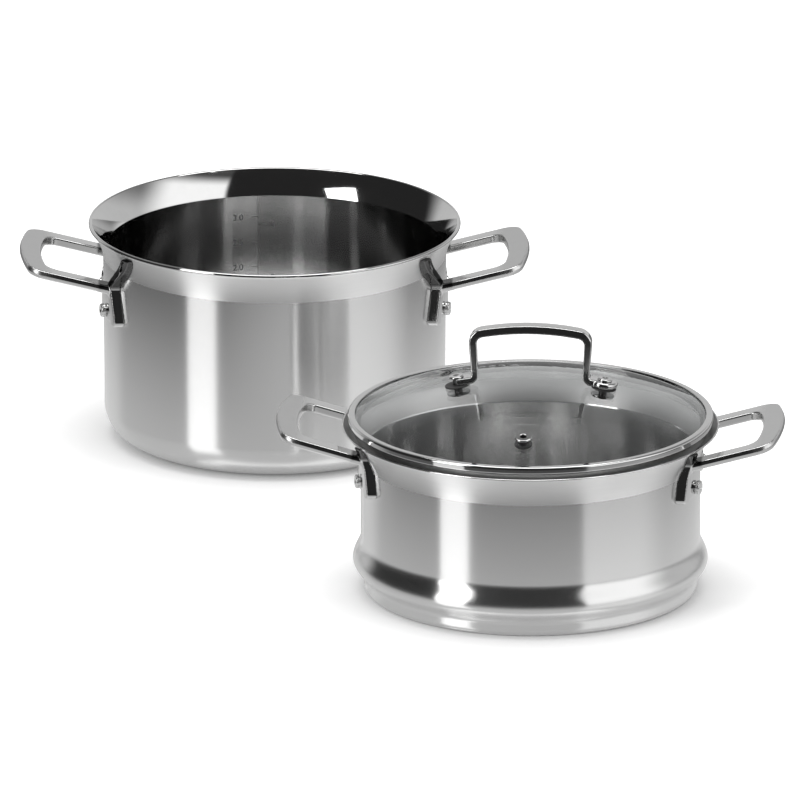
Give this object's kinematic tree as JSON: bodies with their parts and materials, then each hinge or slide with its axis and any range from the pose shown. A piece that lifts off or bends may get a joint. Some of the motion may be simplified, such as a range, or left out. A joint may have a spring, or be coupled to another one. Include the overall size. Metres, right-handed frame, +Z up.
{
  "type": "steamer pot",
  "caption": "Deep steel pot with loop handles, a perforated steamer insert that seats in its rim, and a domed glass lid with a strap handle and steam vent.",
  "frame": {"origin": "centre of the flat underside of the pot", "axes": "+Z up along the pot, +X towards its right handle within one degree, -Y towards the viewer, where the steamer insert stands"},
  "size_m": [0.455, 0.5278, 0.1621],
  "materials": {
    "satin_steel": "satin, brushed round the axis",
    "polished_steel": "polished",
    "tempered_glass": "clear, gloss",
    "silicone": "matte"
  },
  "bodies": {
    "pot": {"pot_body": "satin_steel", "pot_handle_left": "polished_steel", "pot_handle_right": "polished_steel", "pot_rivet_left_front": "polished_steel", "pot_rivet_left_back": "polished_steel", "pot_rivet_right_front": "polished_steel", "pot_rivet_right_back": "polished_steel"},
    "steamer": {"steamer_body": "satin_steel", "steamer_handle_left": "polished_steel", "steamer_handle_right": "polished_steel", "steamer_rivet_left_front": "polished_steel", "steamer_rivet_left_back": "polished_steel", "steamer_rivet_right_front": "polished_steel", "steamer_rivet_right_back": "polished_steel"},
    "lid": {"lid_glass": "tempered_glass", "lid_band": "polished_steel", "lid_handle": "polished_steel", "vent_grommet": "polished_steel", "lid_rivet_left": "polished_steel", "lid_rivet_right": "polished_steel", "lid_gasket_left": "silicone", "lid_gasket_right": "silicone", "lid_washer_left": "polished_steel", "lid_washer_right": "polished_steel"}
  },
  "joints": [
    {"name": "steamer_lift", "type": "slide", "parent": "pot", "child": "steamer", "axis": [0, 0, 1], "range_m": [0, 0.16]},
    {"name": "lid_lift", "type": "slide", "parent": "steamer", "child": "lid", "axis": [0, 0, 1], "range_m": [0, 0.12]}
  ]
}
